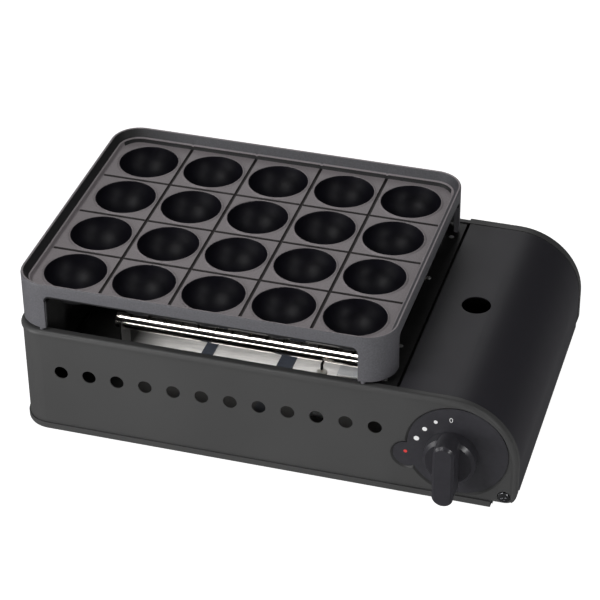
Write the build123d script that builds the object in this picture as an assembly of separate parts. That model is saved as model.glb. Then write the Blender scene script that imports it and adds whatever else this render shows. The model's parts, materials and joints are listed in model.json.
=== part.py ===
"""Tabletop takoyaki maker: a cast plate of round cups on a sheet steel gas cooker with a canister bay."""

from build123d import *
import math
import os

# X runs to the right, Y to the back and Z up; millimetres.
# The origin is on the table, under the middle of the cooker and its knob.

# Cooking plate, a single aluminium casting
cup_columns = 5
cup_rows = 4
cup_pitch = 48.0
cup_radius = 20.65
cup_depth = 18.5
cup_wall = 2.6
cup_bands = 4  # straight bands from the rim of a cup to its flat bottom
cup_sides = 24  # flats round a cup
cup_back_bands = 2
cup_back_sides = 12  # fewer flats where only the flames see it
cup_bottom_radius = 4.5
deck_thickness = 2.2
groove_width = 1.8
groove_depth = 0.9
cell_margin = 32.1  # from the outer cup centres to the outside of the plate
plate_corner = 20.0
rim_height = 8.8
rim_land = 3.0
rim_slope = 2.2
ledge_height = 3.4  # the rim's inner wall has a narrow ledge above the deck
ledge_width = 0.6
ledge_slope = 1.0
rim_round = 1.0
skirt_wall = 3.5
leg_drop = 26.0  # from the deck to the lower edge of the legs
leg_pad = 2.0  # pads under the legs keep them off the body
leg_pad_radius = 1.6
leg_width = 21.7
window_corner = 4.0

# Sheet steel body
sheet = 0.8
body_height = 81.8
plate_setback = 1.5
strip_width = 3.7
bay_width = 81.6
body_corner = 18.5
fold_radius = 3.0
end_radius = 46.4
top_flange = 5.8
bottom_flange = 9.0
border = 3.6
base_border = 6.0
swage = 1.0
seam_gap = 2.2
vent_count = 12
vent_pitch = 19.64
vent_diameter = 9.6
vent_inset = 31.8
vent_drop = 32.0
notch_inset = 17.5
lobe_rise = 6.3
lobe_radius = 8.5
pivot_inset = 8.7
pivot_rise = 11.1
pin_radius = 2.5
pin_head_radius = 3.8
pin_head = 1.6
pin_reach = 2.0  # how far a pin stands past the cover's ear
dimple_radius = 4.3
dimple_depth = 2.0
running_clearance = 0.05
clearance = 0.3

# Dial and knob
dial_radius = 33.4
dial_thickness = 0.7
dial_depth = 1.4
dial_slope = 1.4  # width of the recess's sloping wall
dial_wall = 0.2
ear_radius = 9.4
ear_offset_x = -33.4
ear_offset_z = -9.0
knob_reach = 24.0
knob_radius = 17.5
knob_disc = 8.5
knob_chamfer = 2.2
grip_width = 14.0
grip_length = 48.0
grip_chamfer = 1.6
knob_offset_x = -3.7
knob_offset_z = -3.0
shaft_radius = 4.0
shaft_flat = 1.2
shaft_flat_end = 2.0  # the flat stops this far before the panel
shaft_grip = 12.0

# Gas canister that the bay takes: a standard one, 186 long, with its neck in the regulator
canister_radius = 34.0
canister_inset = 40.4
canister_rise = 41.3
neck_radius = 17.2
neck_depth = 8.0

# Frame round the top opening
frame_sheet = 1.0
frame_edge = 3.2
frame_width = 6.0
frame_shelf = 8.0  # what the frame shows inside the plate's right side
frame_lip = 7.0
seat_gap = 0.2

# Base pan and feet
pan_inset = 5.0
pan_lip = 8.0
foot_height = 2.2
foot_radius = 7.0
foot_inset = 24.0
screw_radius = 1.5
screw_head_radius = 3.0
screw_head = 1.6
screw_length = 7.0
foot_draft = 1.0

# Burner chamber
partition_back = 3.4
partition_shelf = 10.0
bar_radius = 5.5
bar_wall = 0.6
cross_radius = 4.5
flame_gap = 24.4
bar_left = 78.0  # left ends of the bars, from the middle of the plate
bar_gap = 12.0
port_pitch = 12.0
port_width = 1.2
port_margin = 10.0
mouth_radius = 8.0
mouth_length = 8.0
mouth_gap = 3.0
nozzle_radius = 4.0
nozzle_bore = 0.5
nozzle_seat = 2.2
nozzle_hole = 6.0
pipe_radius = 2.5
pipe_gap = 7.4
bracket_sheet = 1.2
bracket_width = 16.0
tray_sheet = 0.6
tray_gap = 11.4
tray_rise = 17.8
tray_lip = 6.0
tray_foot_radius = 6.0
strap_width = 7.9
broad_strap_width = 10.9
strap_thickness = 1.5
strap_reach = 24.5  # from the middle of the plate, to the left
broad_strap_reach = 31.3  # the same, to the right
electrode_offset = 70.0
electrode_stand = 14.0
electrode_land = 3.0  # sheet round the ceramic
ceramic_radius = 3.5
ceramic_collar = 1.0
ceramic_collar_height = 4.0
spark_gap = 3.5
wire_radius = 1.0
lead_radius = 1.4
lead_rise = 4.0  # over the lip of the tray
lead_run = 26.0
boot_radius = 2.2

# Regulator group in the canister bay
regulator_radius = 28.0
regulator_depth = 20.0
valve_floor = 6.0
stem_radius = 5.0
stem_depth = 3.0
outlet_wall = 2.0
outlet_inset = 4.0
pipe_seat = 5.0
panel_gap = 0.3
socket_wall = 5.0
socket_floor = 1.0
socket_notch = 6.0
magnet_size = 8.0
magnet_depth = 6.0
igniter_side = 3.0  # between the igniter and the regulator
igniter_height = 32.0
igniter_depth = 18.0
igniter_gap = 1.0
igniter_round = 1.5
cradle_sheet = 1.2
cradle_width = 44.0
cradle_spacing = 104.0
cradle_foot = 8.0
heat_panel_sheet = 1.0
heat_panel_width = 46.0
heat_panel_rise = 21.8
heat_panel_arc = 60.0  # degrees to each side of the canister's lowest line
lid_play = 0.5
lid_ear = 6.5
lid_ear_sheet = 1.0
lid_ear_rise = 14.5
lid_fold = 4.0
lid_low = 10.8
lid_corner = 9.0
finger_hole_radius = 9.9
finger_hole_inset = 27.6
finger_hole_offset = 2.7

# Places that follow from the sizes above
plate_width = (cup_columns - 1) * cup_pitch + 2 * cell_margin
plate_depth = (cup_rows - 1) * cup_pitch + 2 * cell_margin
body_width = plate_setback + plate_width + strip_width + bay_width
body_depth = plate_depth + 2 * plate_setback
left_x = -body_width / 2
right_x = body_width / 2
front_y = (knob_reach - body_depth) / 2
back_y = front_y + body_depth
mid_y = (front_y + back_y) / 2
base_z = foot_height
top_z = base_z + body_height
seam_x = right_x - bay_width
plate_x = left_x + plate_setback + plate_width / 2
plate_right = plate_x + plate_width / 2
frame_top = top_z - sheet
leg_z = top_z + leg_pad
deck_z = leg_z + leg_drop
rim_z = deck_z + rim_height
pan_top = base_z + 2 * sheet
canister_x = right_x - canister_inset
canister_z = base_z + canister_rise
knob_x = canister_x + knob_offset_x
knob_z = canister_z + knob_offset_z
dial_y = front_y + swage + dial_depth  # floor of the dial recess
inner_y = dial_y + sheet  # back of the panel behind the dial
pivot_x = right_x - pivot_inset
pivot_z = base_z + pivot_rise
lobe_z = base_z + lobe_rise
lid_front = front_y + top_flange + lid_play
lid_back = back_y - top_flange - lid_play
lid_low_z = base_z + lid_low
shelf_z = top_z - clearance - sheet - lid_fold - seat_gap
partition_x = seam_x - partition_back
opening_left = left_x + frame_width
opening_right = plate_right - frame_shelf
opening_front = front_y + frame_width
opening_back = back_y - frame_width
bar_z = deck_z - cup_depth - cup_wall - flame_gap - bar_radius
bar_rows = (mid_y - cup_pitch, mid_y + cup_pitch)
bar_start = plate_x - bar_left
bar_end = partition_x - sheet - bar_gap
tray_z = pan_top + tray_rise
tray_left = left_x + sheet + tray_gap
tray_right = partition_x - 2 * sheet - clearance
electrode_top = bar_z - bar_radius
electrode_shelf = tray_z + tray_sheet + electrode_stand
regulator_y = inner_y + panel_gap
socket_y = regulator_y + regulator_depth
nozzle_x = partition_x - sheet
pipe_x = partition_x + pipe_gap
far = 2 * body_width  # longer than anything here


def block(x0, x1, y0, y1, z0, z1):
    """Box between two corners."""
    low = (Align.MIN, Align.MIN, Align.MIN)
    return Pos(x0, y0, z0) * Box(x1 - x0, y1 - y0, z1 - z0, align=low)


def along_y(profile, near, away):
    """Profile drawn in X and Z, extruded from y = near to y = away."""
    place = Plane(origin=(0, away, 0), x_dir=(1, 0, 0), z_dir=(0, -1, 0))
    return extrude(place * profile, amount=away - near)


def along_x(profile, near, away):
    """Profile drawn in Y and Z, extruded from x = near to x = away."""
    place = Plane(origin=(near, 0, 0), x_dir=(0, 1, 0), z_dir=(1, 0, 0))
    return extrude(place * profile, amount=away - near)


def upright(profile, low, high):
    """Profile drawn in X and Y, extruded from z = low to z = high."""
    return extrude(Pos(0, 0, low) * profile, amount=high - low)


def rod(radius, start, end):
    """Round bar from one point to another."""
    run = Vector(*end) - Vector(*start)
    return extrude(Plane(origin=start, z_dir=run) * Circle(radius), amount=run.length)


def pipe(radius, *corners):
    """Round bar along straight runs with mitred corners."""
    path = Polyline(*corners)
    profile = Plane(origin=path @ 0, z_dir=path % 0) * Circle(radius)
    return sweep(profile, path=path, transition=Transition.RIGHT)


# --- Cooking plate -------------------------------------------------------


def cup_form(rim_radius, depth, sides, bands):
    """Cup in flats: bands follow one arc down to a flat bottom, and a short collar stands above."""
    sphere = (rim_radius**2 + depth**2) / (2 * depth)
    rim_angle = math.asin(min(1.0, rim_radius / sphere))
    bottom_angle = math.asin(cup_bottom_radius / sphere)
    step = (rim_angle - bottom_angle) / bands
    angles = [rim_angle - k * step for k in range(bands + 1)]
    centre = sphere * math.cos(rim_angle)
    arc = [(sphere * math.sin(a), centre - sphere * math.cos(a)) for a in angles]
    rings = [polygon_ring(radius, z, sides) for radius, z in [(rim_radius, deck_thickness / 2)] + arc]
    faces = [Face(Wire.make_polygon(ring)) for ring in (rings[0], rings[-1])]
    for upper, lower in zip(rings, rings[1:]):
        for k in range(sides):
            flat = [upper[k - 1], upper[k], lower[k], lower[k - 1]]
            faces.append(Face(Wire.make_polygon(flat)))
    return Solid(Shell(faces))


def polygon_ring(radius, z, sides):
    """Corners of a level polygon whose flats lie at radius from the Z axis."""
    reach = radius / math.cos(math.pi / sides)
    turns = [2 * math.pi * k / sides for k in range(sides)]
    return [Vector(reach * math.cos(t), reach * math.sin(t), z) for t in turns]


def cup_places():
    """Centres of the cups, column by column."""
    left = plate_x - (cup_columns - 1) * cup_pitch / 2
    front = mid_y - (cup_rows - 1) * cup_pitch / 2
    return [
        (left + i * cup_pitch, front + j * cup_pitch)
        for i in range(cup_columns)
        for j in range(cup_rows)
    ]


def cooking_plate():
    """Casting with a raised rim, a grooved deck of cups and a skirt with a window on each side."""
    casting = upright(plate_outline(0), leg_z, rim_z)
    casting = fillet(casting.edges().group_by(Axis.Z)[-1], rim_round)
    casting -= upright(plate_outline(skirt_wall), leg_z, deck_z - deck_thickness)
    upper = Pos(0, 0, rim_z) * plate_outline(rim_land)
    upper_height = rim_height - ledge_height
    casting -= extrude(upper, amount=-upper_height, taper=slope(rim_slope, upper_height))
    lower = Pos(0, 0, deck_z + ledge_height) * plate_outline(rim_land + rim_slope + ledge_width)
    casting -= extrude(lower, amount=-ledge_height, taper=slope(ledge_slope, ledge_height))
    under_deck = cup_depth + cup_wall - deck_thickness
    outside = cup_form(cup_radius + cup_wall, under_deck, cup_back_sides, cup_back_bands)
    casting += [Pos(x, y, deck_z - deck_thickness) * outside for x, y in cup_places()]
    hollow = cup_form(cup_radius, cup_depth, cup_sides, cup_bands)
    casting -= [Pos(x, y, deck_z) * hollow for x, y in cup_places()]
    casting -= deck_grooves()
    casting -= skirt_windows()
    return casting + leg_pads()


def plate_outline(inset):
    """Outline of the plate, moved inwards."""
    width = plate_width - 2 * inset
    depth = plate_depth - 2 * inset
    return Pos(plate_x, mid_y) * RectangleRounded(width, depth, plate_corner - inset)


def slope(run, height):
    """Taper in degrees of a wall that leans over run along its height."""
    return math.degrees(math.atan2(run, height))


def leg_pads():
    """One pad under each leg, where the skirt is straight."""
    dx = plate_width / 2 - leg_width + 2 * leg_pad_radius
    dy = (plate_depth - skirt_wall) / 2
    places = [(plate_x + i * dx, mid_y + j * dy) for i in (-1, 1) for j in (-1, 1)]
    return [rod(leg_pad_radius, (x, y, top_z + seat_gap), (x, y, leg_z)) for x, y in places]


def deck_grooves():
    """Shallow lines that divide the deck into one cell for each cup."""
    deck_inset = rim_land + rim_slope + ledge_width + ledge_slope
    reach_x = plate_width / 2 - deck_inset
    reach_y = plate_depth / 2 - deck_inset
    low = deck_z - groove_depth
    half = groove_width / 2
    lines = []
    for i in range(1, cup_columns):
        x = plate_x + (i - cup_columns / 2) * cup_pitch
        lines.append(block(x - half, x + half, mid_y - reach_y, mid_y + reach_y, low, deck_z + half))
    for j in range(1, cup_rows):
        y = mid_y + (j - cup_rows / 2) * cup_pitch
        lines.append(
            block(plate_x - reach_x, plate_x + reach_x, y - half, y + half, low, deck_z + half)
        )
    return lines


def skirt_windows():
    """Openings between the corner legs, on all four sides."""
    top = deck_z - deck_thickness
    height = top - leg_z + 2 * window_corner
    middle = top - height / 2
    span_x = plate_width - 2 * leg_width
    span_y = plate_depth - 2 * leg_width
    front = Pos(plate_x, middle) * RectangleRounded(span_x, height, window_corner)
    side = Pos(mid_y, middle) * RectangleRounded(span_y, height, window_corner)
    through = along_y(front, mid_y - plate_depth, mid_y + plate_depth)
    through += along_x(side, plate_x - plate_width, plate_x + plate_width)
    return through - upright(plate_outline(skirt_wall), leg_z - far / 2, rim_z)


# --- Body ----------------------------------------------------------------


def side_outline(inset=0.0, base=None, left=None):
    """Front view of the body: square at the left, one broad bend at the top right."""
    x0 = left_x + inset if left is None else left
    x1 = right_x - inset
    z0 = base_z + (inset if base is None else base)
    z1 = top_z - inset
    bend = end_radius - inset
    bottom = Line((x0, z0), (x1, z0))
    side = Line((x1, z0), (x1, z1 - bend))
    arc = TangentArc(side @ 1, (x1 - bend, z1), tangent=side % 1)
    top = Line(arc @ 1, (x0, z1))
    return make_face(bottom + side + arc + top + Line((x0, z1), (x0, z0)))


def plan(inset=0.0):
    """Top view of the body, with rounded corners at the left; the right end runs on."""
    corner = body_corner - inset
    return Pos(left_x + inset + far / 2, mid_y) * RectangleRounded(
        far, body_depth - 2 * inset, corner
    )


def dial_circles():
    """Centre and radius of the round dial and of the small ear at its lower left."""
    ear = (canister_x + ear_offset_x, canister_z + ear_offset_z, ear_radius)
    return [(canister_x, canister_z, dial_radius), ear]


def dial_recess(inset):
    """Recess with a sloping wall that the dial lies in, for a surface that lies inset inwards."""
    grow = dial_wall + dial_slope + inset * math.tan(math.atan2(dial_depth, dial_slope) / 2)
    mouth = dial_y - dial_depth + inset
    taper = slope(dial_slope, dial_depth)
    sunk = []
    for x, z, radius in dial_circles():
        place = Plane(origin=(x, mouth, z), x_dir=(1, 0, 0), z_dir=(0, 1, 0))
        sunk.append(extrude(place * Circle(radius + grow), amount=dial_depth, taper=taper))
        sunk.append(rod(radius + grow, (x, front_y - 1, z), (x, mouth, z)))
    return sunk


def body_form(inset):
    """Outside of the body, moved inwards: round folds, square at the rear of the bay, and the pressings."""
    form = along_y(side_outline(inset), front_y + inset, back_y - inset)
    form = form & upright(plan(inset), base_z - 1, top_z + 1)
    rim = form.faces().sort_by(Axis.Y)[0].edges() + form.faces().sort_by(Axis.Y)[-1].edges()
    folds = [e for e in rim if e.center().X > left_x + 2 * body_corner]
    square_rear = block(seam_x + inset, right_x, mid_y, back_y, base_z, top_z)
    form = fillet(folds, fold_radius - inset) + (form & square_rear)
    belt = along_y(
        side_outline(border - inset, base=base_border - inset, left=left_x - 1),
        front_y - 1,
        back_y + 1,
    )
    form -= belt - upright(plan(inset + swage), base_z - 1, top_z + 1)
    form -= dial_recess(inset)
    dimple = Pos(pivot_x, pivot_z) * Circle(dimple_radius + inset)
    form -= along_y(dimple, front_y - 1, front_y + dimple_depth + inset)
    return form - along_y(dimple, back_y - dimple_depth - inset, back_y + 1)


def lobe_trim():
    """What is cut away under and beyond the hinge lobes at the lower right."""
    x0 = right_x - notch_inset
    x1 = right_x + 1
    z0 = base_z - 1
    z1 = lobe_z + lobe_radius
    lobe = Pos(right_x - lobe_radius, z1) * Circle(lobe_radius)
    over = Pos((x0 + right_x - lobe_radius) / 2, z1) * Rectangle(
        right_x - lobe_radius - x0, 2 * lobe_radius
    )
    area = Pos((x0 + x1) / 2, (z0 + z1) / 2) * Rectangle(x1 - x0, z1 - z0)
    return along_y(area - lobe - over, front_y - 1, back_y + 1)


def body_shell():
    """Front, left and rear walls in one drawn sheet with turned-in edges and open top, right and base."""
    shell = body_form(0.0) - body_form(sheet)
    shell -= upright(plan(top_flange), base_z + sheet, top_z + 1)
    shell -= upright(plan(bottom_flange), base_z - 1, base_z + 2 * sheet)
    shell -= lobe_trim()
    first = left_x + vent_inset
    for k in range(vent_count):
        x = first + k * vent_pitch
        z = top_z - vent_drop
        shell -= rod(vent_diameter / 2, (x, front_y - 1, z), (x, back_y + 1, z))
    shaft = shaft_radius + clearance + running_clearance
    shell -= rod(shaft, (knob_x, front_y, knob_z), (knob_x, inner_y + 1, knob_z))
    pin = pin_radius + running_clearance
    for x, z in regulator_screw_places():
        shell -= rod(screw_radius, (x, front_y, z), (x, inner_y + 1, z))
        shell -= countersink(x, z)
    for x, y in base_screw_places():
        shell -= rod(screw_radius, (x, y, base_z - 1), (x, y, base_z + 2 * sheet))
    return shell - rod(pin, (pivot_x, front_y - 1, pivot_z), (pivot_x, back_y + 1, pivot_z))


def base_screw_places():
    """Screws through the bottom flange, three along each long side."""
    inset = (bottom_flange + pan_inset) / 2
    span = (seam_x - left_x) / 2 - body_corner - inset
    middle = (seam_x + left_x) / 2
    rows = (front_y + inset, back_y - inset)
    return [(middle + k * span, y) for k in (-1, 0, 1) for y in rows]


def regulator_screw_places():
    """Two screws that hold the regulator behind the dial."""
    reach = regulator_radius - 2 * screw_head_radius
    return [(canister_x, canister_z + k * reach) for k in (-1, 1)]


def base_pan():
    """Flat floor with a raised lip under the canister cover."""
    end = pivot_x - lid_ear - 2 * clearance - sheet
    floor = upright(plan(pan_inset), base_z + sheet, pan_top)
    floor = floor & block(left_x, end, front_y, back_y, base_z, top_z)
    lip_back = back_y - pan_inset
    lip_front = front_y + pan_inset
    floor += block(end - sheet, end, lip_front, lip_back, base_z + sheet, base_z + sheet + pan_lip)
    for x, y in base_screw_places():
        floor -= rod(screw_radius, (x, y, base_z), (x, y, pan_top + 1))
    return floor


def base_screws():
    """Pan-head screws through the bottom flange into the floor."""
    screws = []
    for x, y in base_screw_places():
        head = rod(screw_head_radius, (x, y, base_z - screw_head), (x, y, base_z))
        screws.append(head + rod(screw_radius, (x, y, base_z), (x, y, base_z + screw_length)))
    return Compound(screws)


def foot_places():
    """Four places for the feet, inset from the corners of the floor."""
    right = pivot_x - lid_ear - foot_inset
    return [
        (x, y)
        for x in (left_x + foot_inset, right)
        for y in (front_y + foot_inset, back_y - foot_inset)
    ]


def rubber_feet():
    """Tapered feet under the floor."""
    height = base_z + sheet
    taper = slope(foot_draft, height)
    feet = [
        extrude(Pos(x, y, height) * Circle(foot_radius), amount=-height, taper=taper)
        for x, y in foot_places()
    ]
    return Compound(feet)


def top_frame():
    """Flat frame under the top flange, turned down round the opening and on to the partition's shelf."""
    width = opening_right - opening_left
    depth = opening_back - opening_front
    middle = Pos((opening_left + opening_right) / 2, mid_y)
    corner = body_corner - frame_width
    outer = middle * RectangleRounded(width, depth, corner)
    inner = middle * RectangleRounded(
        width - 2 * frame_sheet, depth - 2 * frame_sheet, corner - frame_sheet
    )
    edge = seam_x - seam_gap / 2
    frame = upright(plan(frame_edge), frame_top - frame_sheet, frame_top)
    frame = frame & block(left_x, edge, front_y, back_y, base_z, frame_top)
    frame += upright(outer, frame_top - frame_lip, frame_top)
    near = front_y + frame_edge
    away = back_y - frame_edge
    frame += block(edge - frame_sheet, edge, near, away, shelf_z, frame_top)
    return frame - upright(inner, base_z, frame_top + 1)


# --- Burner chamber ------------------------------------------------------


def partition_wall():
    """Wall between the burner and the canister, with a shelf that the cover's edge rests on."""
    near = inner_y + clearance
    away = back_y - swage - sheet - clearance
    wall = block(nozzle_x, partition_x, near, away, pan_top, shelf_z)
    wall += block(nozzle_x, nozzle_x + partition_shelf, near, away, shelf_z - sheet, shelf_z)
    wall += block(nozzle_x - partition_shelf, partition_x, near, away, pan_top, pan_top + sheet)
    front_bar = bar_rows[0]
    wall -= rod(nozzle_hole, (nozzle_x - 1, front_bar, bar_z), (partition_x + 1, front_bar, bar_z))
    slot_z = pan_top + heat_panel_rise
    half = heat_panel_width / 2 + clearance
    wall -= block(
        nozzle_x - 1,
        partition_x + 1,
        mid_y - half,
        mid_y + half,
        slot_z - clearance,
        slot_z + heat_panel_sheet + clearance,
    )
    start_x, lead_y, lead_z = lead_start()
    hole = lead_radius + clearance
    return wall - rod(hole, (nozzle_x - 1, lead_y, lead_z), (start_x, lead_y, lead_z))


def burner():
    """Two ported bars joined by a cross tube; the front bar runs on into the mixing mouth."""
    end_x = nozzle_x - mouth_gap
    front, back = bar_rows
    cross_x = bar_end - bar_radius
    outside = bar_form(bar_radius, bar_start, end_x, front, mouth_radius)
    outside += bar_form(bar_radius, bar_start, bar_end, back, bar_radius)
    outside += rod(cross_radius, (cross_x, front, bar_z), (cross_x, back, bar_z))
    bore = bar_radius - bar_wall
    start = bar_start + bar_wall
    tube = outside - bar_form(bore, start, end_x, front, mouth_radius - bar_wall)
    tube -= bar_form(bore, start, bar_end - bar_wall, back, bore)
    tube -= rod(cross_radius - bar_wall, (cross_x, front, bar_z), (cross_x, back, bar_z))
    first = bar_start + port_margin
    count = int((cross_x - bar_radius - port_margin - first) // port_pitch) + 1
    half = bar_radius / 2
    for y in bar_rows:
        for k in range(count):
            x = first + k * port_pitch
            tube -= block(x, x + port_width, y - half, y + half, bar_z + half, bar_z + far)
    return tube


def bar_form(radius, start, end, y, end_radius):
    """Bar along X, flared at its right end when end_radius is larger."""
    outline = [(start, 0), (start, radius), (end - mouth_length, radius), (end, end_radius), (end, 0)]
    if end_radius == radius:
        outline.pop(2)
    profile = Plane.XZ * make_face(Polyline(*outline, close=True))
    return Pos(0, y, bar_z) * revolve(profile, axis=Axis.X)


def burner_brackets():
    """Upright straps that carry the four ends of the bars on the tray."""
    brackets = []
    low = tray_z + tray_sheet
    for x in (bar_start + bracket_width / 4, bar_end - 3 * bar_radius):
        for y in bar_rows:
            half = bracket_width / 2
            strap = block(x, x + bracket_sheet, y - half, y + half, low, bar_z + bar_radius / 2)
            strap -= rod(bar_radius, (x - 1, y, bar_z), (x + bracket_sheet + 1, y, bar_z))
            foot = block(x, x + half, y - half, y + half, low, low + bracket_sheet)
            brackets.append(strap + foot)
    return Compound(brackets)


def heat_tray():
    """Bright tray under the burner, on round pressed feet."""
    width = tray_right - tray_left
    depth = body_depth - 2 * (sheet + swage + tray_gap)
    middle = Pos((tray_left + tray_right) / 2, mid_y)
    outer = middle * RectangleRounded(width, depth, tray_lip)
    inner = middle * RectangleRounded(
        width - 2 * tray_sheet, depth - 2 * tray_sheet, tray_lip - tray_sheet
    )
    tray = upright(outer, tray_z, tray_z + tray_lip)
    tray -= upright(inner, tray_z + tray_sheet, tray_z + 2 * tray_lip)
    dx = width / 2 - 3 * tray_foot_radius
    dy = depth / 2 - 3 * tray_foot_radius
    centre_x = (tray_left + tray_right) / 2
    for i in (-1, 1):
        for j in (-1, 1):
            x = centre_x + i * dx
            y = mid_y + j * dy
            tray += rod(tray_foot_radius, (x, y, pan_top), (x, y, tray_z))
    half = heat_panel_width / 2 + clearance
    return tray - block(
        tray_right - 1, tray_right + 1, mid_y - half, mid_y + half, tray_z + tray_sheet, tray_z + far
    )


def tray_straps():
    """Two flat straps across the tray that hold it down."""
    low = tray_z + tray_sheet
    reach = body_depth / 2 - sheet - swage - tray_gap - 2 * tray_sheet
    straps = []
    for x, width in (
        (plate_x - strap_reach, strap_width),
        (plate_x + broad_strap_reach, broad_strap_width),
    ):
        straps.append(
            block(
                x - width / 2,
                x + width / 2,
                mid_y - reach,
                mid_y + reach,
                low,
                low + strap_thickness,
            )
        )
    return Compound(straps)


def electrode_place():
    """Where the spark electrode stands: beside the front bar."""
    return plate_x + electrode_offset, bar_rows[0] - bar_radius - spark_gap - ceramic_radius


def electrode_ceramic():
    """Ceramic sleeve of the spark electrode, on its stand."""
    x, y = electrode_place()
    sleeve = rod(ceramic_radius, (x, y, electrode_shelf), (x, y, electrode_top))
    collar_top = electrode_shelf + ceramic_collar_height
    sleeve += rod(ceramic_radius + ceramic_collar, (x, y, electrode_shelf), (x, y, collar_top))
    return sleeve - rod(wire_radius, (x, y, tray_z), (x, y, electrode_top + 1))


def electrode_bracket():
    """Sheet stand that carries the ceramic sleeve over the tray."""
    x, y = electrode_place()
    low = tray_z + tray_sheet
    half = ceramic_radius + electrode_land
    x0 = x - half
    x1 = x + half
    y0 = y - half
    y1 = y + half
    stand = block(x0, x1, y0, y1, electrode_shelf - bracket_sheet, electrode_shelf)
    stand += block(x0, x0 + bracket_sheet, y0, y1, low, electrode_shelf)
    stand += block(x0, x1, y0, y1, low, low + bracket_sheet)
    return stand - rod(boot_radius, (x, y, low + 2 * bracket_sheet), (x, y, electrode_shelf + 1))


def electrode_wire():
    """Spark wire with its tip bent towards the bar."""
    x, y = electrode_place()
    low = electrode_shelf - 2 * bracket_sheet
    tip_y = bar_rows[0] - bar_radius - spark_gap
    return pipe(wire_radius, (x, y, low), (x, y, bar_z), (x, tip_y, bar_z))


def lead_start():
    """Where the lead leaves the igniter's side, over the edge of the tray."""
    lead_y = regulator_y + igniter_depth / 2
    return partition_x + 2 * clearance, lead_y, tray_z + tray_lip + lead_rise


def ignition_lead():
    """Lead from the igniter through the partition to a boot under the electrode."""
    x, y = electrode_place()
    start_x, lead_y, lead_z = lead_start()
    cable = pipe(
        lead_radius, (start_x, lead_y, lead_z), (x + lead_run, lead_y, lead_z), (x, y, lead_z)
    )
    boot_top = electrode_shelf - bracket_sheet
    boot = rod(boot_radius, (x, y, lead_z - boot_radius), (x, y, boot_top))
    wire = rod(wire_radius, (x, y, boot_top - bracket_sheet), (x, y, boot_top + 1))
    return cable + boot - wire


# --- Canister bay --------------------------------------------------------


def regulator():
    """Die-cast regulator with a valve bore, a gas outlet and a stem socket."""
    body = along_y(Pos(canister_x, canister_z) * Circle(regulator_radius), regulator_y, socket_y)
    outlet_half = pipe_radius + outlet_wall
    body += block(
        pipe_x - outlet_half,
        canister_x,
        regulator_y + outlet_inset,
        socket_y,
        bar_z - outlet_half,
        bar_z + outlet_half,
    )
    body -= rod(
        shaft_radius + running_clearance,
        (knob_x, regulator_y - 1, knob_z),
        (knob_x, socket_y - valve_floor, knob_z),
    )
    stem_floor = socket_y - stem_depth
    body -= rod(stem_radius, (canister_x, stem_floor, canister_z), (canister_x, socket_y + 1, canister_z))
    body -= rod(pipe_radius, (pipe_x, socket_y - pipe_seat, bar_z), (pipe_x, socket_y + 1, bar_z))
    for x, z in regulator_screw_places():
        body -= rod(screw_radius, (x, regulator_y - 1, z), (x, regulator_y + screw_length, z))
    return body


def countersink(x, z):
    """Conical head form of a regulator screw, flush with the recess floor."""
    place = Plane(origin=(x, dial_y, z), x_dir=(1, 0, 0), z_dir=(0, 1, 0))
    return extrude(place * Circle(screw_radius + sheet), amount=sheet, taper=45)


def regulator_screws():
    """Two countersunk screws from the dial recess into the regulator."""
    screws = []
    for x, z in regulator_screw_places():
        shank = rod(screw_radius, (x, dial_y, z), (x, regulator_y + screw_length - 1, z))
        screws.append(shank + countersink(x, z))
    return Compound(screws)


def canister_socket():
    """Collar that takes the neck of the canister, with the guide notch at the top."""
    front = (canister_x, socket_y, canister_z)
    rear = (canister_x, socket_y + neck_depth, canister_z)
    ring = rod(neck_radius + socket_wall, front, rear) - rod(neck_radius, front, rear)
    half = socket_notch / 2
    notch_top = canister_z + neck_radius + 2 * socket_wall
    return ring - block(
        canister_x - half, canister_x + half, socket_y + socket_floor, back_y, canister_z, notch_top
    )


def magnets():
    """Two magnets beside the collar that hold the canister on."""
    blocks = []
    for k in (-1, 1):
        x = canister_x + k * (neck_radius + socket_wall + magnet_size / 2 + clearance)
        half = magnet_size / 2
        z = canister_z - magnet_size
        blocks.append(
            block(x - half, x + half, socket_y, socket_y + magnet_depth, z - half, z + half)
        )
    return Compound(blocks)


def gas_pipe():
    """Pipe from the regulator's outlet to the nozzle."""
    front = bar_rows[0]
    return pipe(
        pipe_radius,
        (pipe_x, socket_y - pipe_seat, bar_z),
        (pipe_x, front, bar_z),
        (nozzle_x + nozzle_seat, front, bar_z),
    )


def gas_nozzle():
    """Brass jet that points into the mixing mouth."""
    front = bar_rows[0]
    tip = (nozzle_x - mouth_gap + 1, front, bar_z)
    seat = (nozzle_x + nozzle_seat, front, bar_z)
    return rod(nozzle_radius, tip, seat) - rod(nozzle_bore, tip, seat)


def piezo_igniter():
    """Clicking igniter beside the regulator, behind the panel."""
    x0 = partition_x + 2 * clearance
    x1 = canister_x - regulator_radius - igniter_side
    y1 = regulator_y + igniter_depth
    z0 = pan_top + igniter_gap
    case = block(x0, x1, regulator_y, y1, z0, z0 + igniter_height)
    return fillet(case.edges().filter_by(Axis.Z), igniter_round)


def saddle(y):
    """One upright saddle that carries the canister over the floor."""
    low = pan_top
    top = canister_z - canister_radius / 2
    half = cradle_width / 2
    plate = block(
        canister_x - half, canister_x + half, y - cradle_sheet / 2, y + cradle_sheet / 2, low, top
    )
    plate += block(
        canister_x - half, canister_x + half, y - cradle_sheet / 2, y + cradle_foot, low, low + cradle_sheet
    )
    seat = canister_radius + heat_panel_sheet + 2 * clearance
    return plate - rod(seat, (canister_x, y - far, canister_z), (canister_x, y + far, canister_z))


def canister_cradle():
    """Front and rear saddles."""
    return Compound([saddle(mid_y + k * cradle_spacing / 2) for k in (-1, 1)])


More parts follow.
